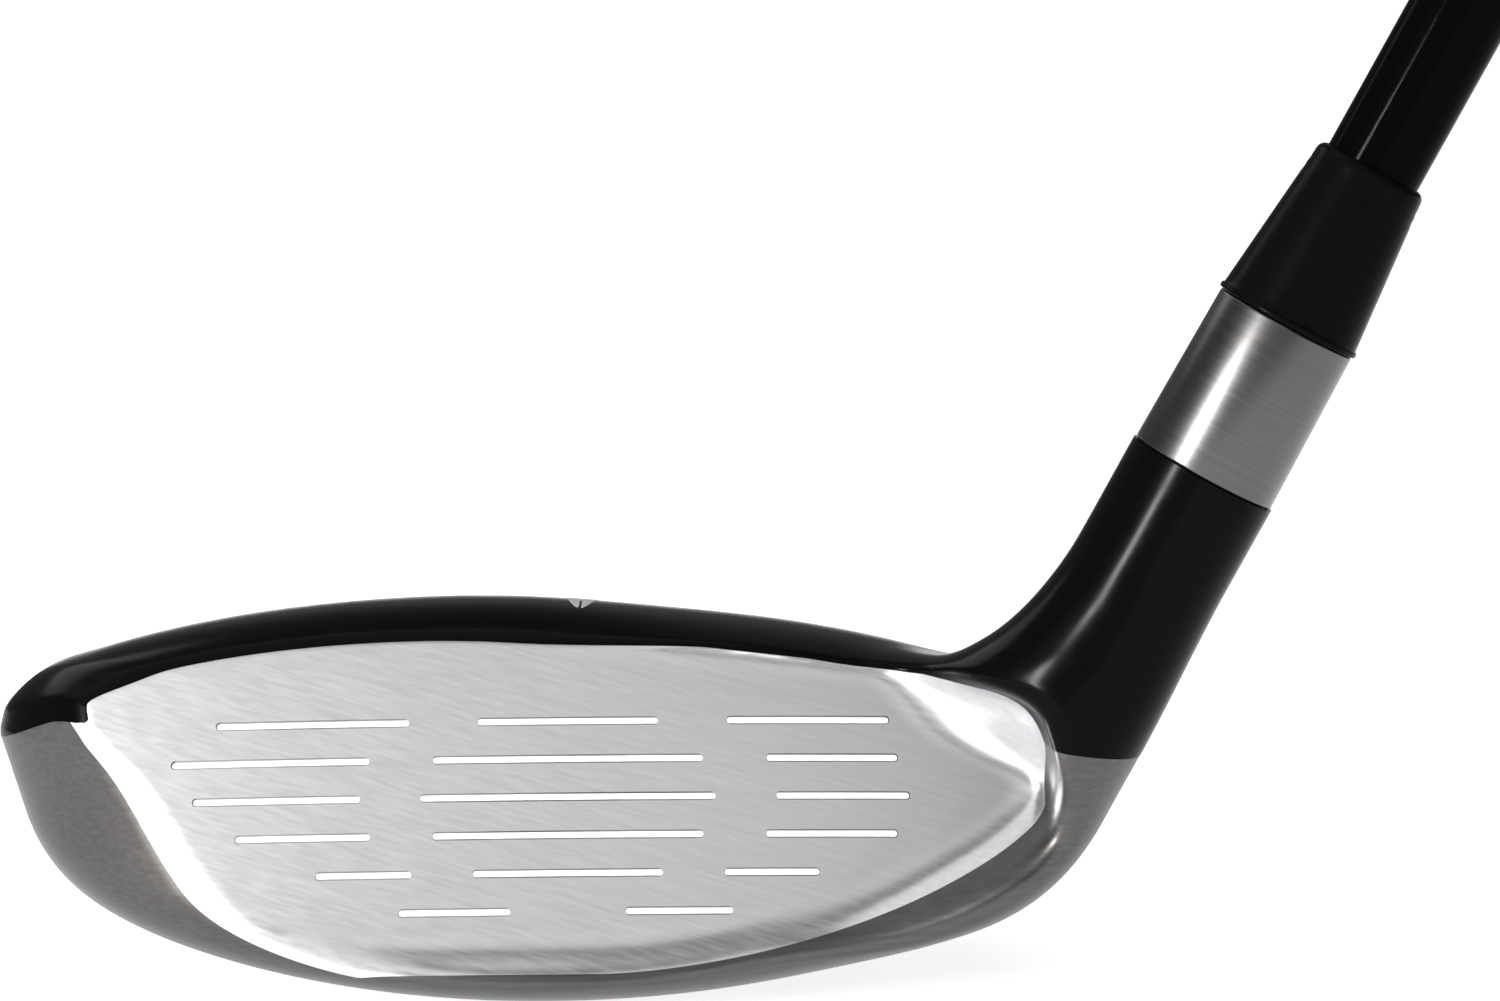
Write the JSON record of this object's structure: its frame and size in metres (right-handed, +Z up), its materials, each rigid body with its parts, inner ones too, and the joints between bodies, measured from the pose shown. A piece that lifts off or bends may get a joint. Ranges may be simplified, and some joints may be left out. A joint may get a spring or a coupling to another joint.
{
  "type": "hybrid golf club",
  "caption": "Right-handed hybrid golf club: black crown over a brushed steel body, scored face, bonded hosel with ferrule, tapered black shaft and rubber grip.",
  "frame": {"origin": "the point where the shaft's axis meets the ground, with the club at address", "axes": "+Z up; +X from toe to heel; the face looks along -Y; the shaft's axis leans toward +X at the lie angle of 61 degrees"},
  "size_m": [0.5927, 0.0631, 0.8947],
  "materials": {
    "crown_black": "black gloss paint over steel",
    "body_satin": "satin brushed, warm dark grey",
    "face_brushed": "fine diagonal brushing",
    "score_white": "white paint fill",
    "mark_silver": "silver paint",
    "hosel_brushed": "brushed around its axis",
    "plug_nylon": "moulded nylon",
    "epoxy_amber": "cured epoxy",
    "ferrule_black": "polished black plastic",
    "shaft_black": "black gloss lacquer over graphite",
    "tip_brass": "turned brass",
    "plug_foam": "closed-cell foam",
    "pad_heavy": "cast heavy-metal pad",
    "melt_amber": "hot-melt adhesive",
    "tape_cream": "double-sided paper tape",
    "grip_rubber": "moulded textured rubber",
    "cap_rubber": "moulded smooth rubber"
  },
  "bodies": {
    "root": {"crown_shell": "crown_black", "sole_shell": "body_satin", "face_plate": "face_brushed", "score_line_paint": "score_white", "alignment_mark": "mark_silver", "hosel_tube": "hosel_brushed", "bore_plug": "plug_nylon", "epoxy_bond": "epoxy_amber", "ferrule": "ferrule_black", "shaft": "shaft_black", "tip_weight": "tip_brass", "shaft_tip_plug": "plug_foam", "rear_weight_pad": "pad_heavy", "hot_melt_pad": "melt_amber", "grip_tape": "tape_cream", "grip_sleeve": "grip_rubber", "grip_cap": "cap_rubber"}
  },
  "joints": []
}
